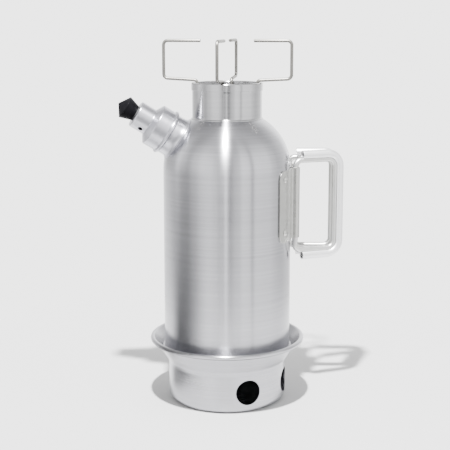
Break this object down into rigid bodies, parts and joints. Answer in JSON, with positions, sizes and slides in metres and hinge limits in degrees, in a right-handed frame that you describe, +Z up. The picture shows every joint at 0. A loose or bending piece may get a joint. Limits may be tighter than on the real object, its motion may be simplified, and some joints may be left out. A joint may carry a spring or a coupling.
{
  "type": "camping chimney kettle",
  "caption": "Chimney kettle with a water jacket round a conical flue, on a fire base with air holes, with a spout, stopper, folding handle and pot support.",
  "frame": {"origin": "centre of the fire base's underside, on the kettle's axis", "axes": "+Z up along the flue, +X towards the handle, -X towards the spout"},
  "size_m": [0.2135, 0.1472, 0.3425],
  "materials": {
    "base_aluminium": "satin",
    "body_aluminium": "brushed round the body",
    "flue_aluminium": "spun",
    "polished_aluminium": "polished",
    "cap_aluminium": "pearl satin",
    "bracket_aluminium": "rolled sheet",
    "handle_wire": "drawn wire",
    "sleeve_aluminium": "satin",
    "support_steel": "drawn wire",
    "stopper_plastic": "matt",
    "seal_rubber": "matt"
  },
  "bodies": {
    "base": {"fire_base": "base_aluminium"},
    "kettle": {"outer_shell": "body_aluminium", "flue": "flue_aluminium", "seam_ring": "body_aluminium", "neck_collar": "polished_aluminium", "spout_tube": "polished_aluminium", "spout_collar": "polished_aluminium", "handle_bracket": "bracket_aluminium", "bracket_rivets": "polished_aluminium", "rivet_seals": "seal_rubber"},
    "cap": {"spout_cap": "cap_aluminium", "cap_gasket": "seal_rubber"},
    "plug": {"stopper": "stopper_plastic", "stopper_washer": "seal_rubber"},
    "wing_front": {"wing_front_wire": "handle_wire", "wing_front_sleeve": "sleeve_aluminium"},
    "wing_rear": {"wing_rear_wire": "handle_wire", "wing_rear_sleeve": "sleeve_aluminium"},
    "pot_support": {"support_wire_side": "support_steel", "support_wire_fore": "support_steel"}
  },
  "joints": [
    {"name": "kettle_lift", "type": "slide", "parent": "base", "child": "kettle", "axis": [0, 0, 1], "range_m": [0, 0.08]},
    {"name": "support_lift", "type": "slide", "parent": "kettle", "child": "pot_support", "axis": [0, 0, 1], "range_m": [0, 0.06]},
    {"name": "cap_pull", "type": "slide", "parent": "kettle", "child": "cap", "axis": [-0.849, 0, 0.5284], "range_m": [0, 0.04]},
    {"name": "stopper_pull", "type": "slide", "parent": "cap", "child": "plug", "axis": [-0.849, 0, 0.5284], "range_m": [0, 0.03]},
    {"name": "wing_front_fold", "type": "hinge", "parent": "kettle", "child": "wing_front", "pos_m": [0.06309, -0.01341, 0.19], "axis": [0, 0, -1], "range_deg": [0, 110]},
    {"name": "wing_rear_fold", "type": "hinge", "parent": "kettle", "child": "wing_rear", "pos_m": [0.06309, 0.01341, 0.19], "axis": [0, 0, 1], "range_deg": [0, 110]}
  ]
}
